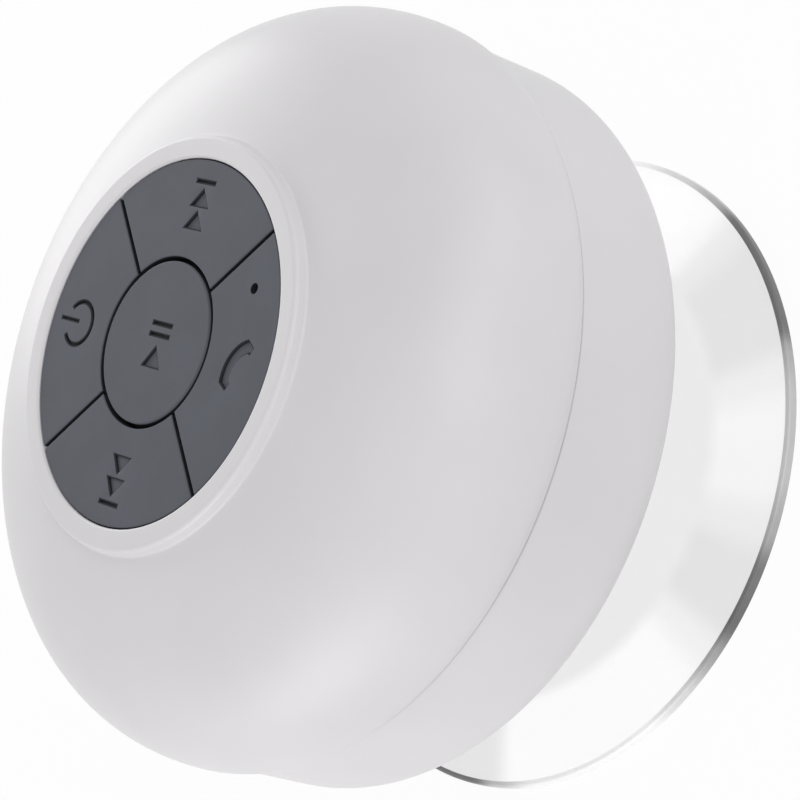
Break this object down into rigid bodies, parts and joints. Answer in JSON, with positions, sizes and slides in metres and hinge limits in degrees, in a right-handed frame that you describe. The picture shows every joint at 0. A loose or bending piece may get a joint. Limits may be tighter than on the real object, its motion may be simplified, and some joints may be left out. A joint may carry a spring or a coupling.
{
  "type": "shower speaker",
  "caption": "Round water-resistant shower speaker with a domed body, rubber key panel, covered charging port, rear sound slots and a swivelling suction cup.",
  "frame": {"origin": "middle of the suction lip's flat face, at the bottom of the part", "axes": "+Z from the suction lip up the axis to the key panel; +X towards the next key; +Y towards the power key and the charging port"},
  "size_m": [0.086, 0.086, 0.06],
  "materials": {
    "white_plastic": "white moulded plastic, soft gloss",
    "clear_rubber": "clear soft plastic, polished",
    "grey_rubber": "slate grey silicone rubber, fine satin",
    "black_rubber": "black rubber, matt",
    "white_rubber": "white soft rubber, satin",
    "black_plastic": "black moulded plastic, matt",
    "board_green": "green solder mask, satin",
    "plated_steel": "nickel-plated steel",
    "ferrite": "sintered ferrite, matt dark grey",
    "copper": "enamelled copper winding",
    "paper_black": "black pressed paper and cloth, matt",
    "foam": "closed-cell foam, dark grey",
    "cell_foil": "foil pouch, satin",
    "red_lead": "red insulated wire",
    "black_lead": "black insulated wire"
  },
  "bodies": {
    "cup": {"suction_cup": "clear_rubber"},
    "housing": {"front_shell": "white_plastic", "rear_shell": "white_plastic", "shell_seal": "black_rubber", "keypad_web": "black_rubber", "main_board": "board_green", "play_switch": "black_plastic", "next_switch": "black_plastic", "previous_switch": "black_plastic", "power_switch": "black_plastic", "call_switch": "black_plastic", "wireless_module": "plated_steel", "amplifier_chip": "black_plastic", "microphone": "plated_steel", "battery": "cell_foil", "battery_pad": "foam", "battery_lead_red": "red_lead", "battery_lead_black": "black_lead", "speaker_lead_red": "red_lead", "speaker_lead_black": "black_lead", "charge_lead_red": "red_lead", "charge_lead_black": "black_lead", "charge_board": "board_green", "charging_socket": "plated_steel", "driver_basket": "plated_steel", "driver_gasket": "foam", "driver_top_plate": "plated_steel", "driver_magnet": "ferrite", "driver_yoke": "plated_steel", "cone_surround": "black_rubber", "spider": "paper_black", "grille_cloth": "paper_black", "shell_screw_1": "plated_steel", "shell_screw_2": "plated_steel", "shell_screw_3": "plated_steel", "shell_screw_4": "plated_steel", "board_screw_1": "plated_steel", "board_screw_2": "plated_steel", "board_screw_3": "plated_steel", "board_screw_4": "plated_steel", "driver_screw_1": "plated_steel", "driver_screw_2": "plated_steel", "driver_screw_3": "plated_steel", "driver_screw_4": "plated_steel"},
    "play_button": {"play_key": "grey_rubber", "play_plunger": "white_plastic"},
    "next_button": {"next_key": "grey_rubber", "next_plunger": "white_plastic"},
    "previous_button": {"previous_key": "grey_rubber", "previous_plunger": "white_plastic"},
    "power_button": {"power_key": "grey_rubber", "power_plunger": "white_plastic"},
    "call_button": {"call_key": "grey_rubber", "call_plunger": "white_plastic"},
    "port_cover": {"port_flap": "white_rubber"},
    "cone": {"speaker_cone": "paper_black", "dust_cap": "paper_black", "voice_coil": "copper"}
  },
  "joints": [
    {"name": "housing_swivel", "type": "hinge", "parent": "cup", "child": "housing", "pos_m": [0, 0, 0.0168], "axis": [0, 0, 1], "continuous": true},
    {"name": "play_press", "type": "slide", "parent": "housing", "child": "play_button", "axis": [0, 0, -1], "range_m": [0, 0.0006], "stiffness_N_per_m": 1500},
    {"name": "next_press", "type": "slide", "parent": "housing", "child": "next_button", "axis": [0, 0, -1], "range_m": [0, 0.0006], "stiffness_N_per_m": 1500},
    {"name": "previous_press", "type": "slide", "parent": "housing", "child": "previous_button", "axis": [0, 0, -1], "range_m": [0, 0.0006], "stiffness_N_per_m": 1500},
    {"name": "power_press", "type": "slide", "parent": "housing", "child": "power_button", "axis": [0, 0, -1], "range_m": [0, 0.0006], "stiffness_N_per_m": 1500},
    {"name": "call_press", "type": "slide", "parent": "housing", "child": "call_button", "axis": [0, 0, -1], "range_m": [0, 0.0006], "stiffness_N_per_m": 1500},
    {"name": "port_flap_hinge", "type": "hinge", "parent": "housing", "child": "port_cover", "pos_m": [0.0072, 0.04158, 0.0312], "axis": [0, 0, -1], "range_deg": [0, 100]},
    {"name": "cone_drive", "type": "slide", "parent": "housing", "child": "cone", "axis": [0, 0, 1], "range_m": [-0.0005, 0.0005], "stiffness_N_per_m": 1000}
  ]
}
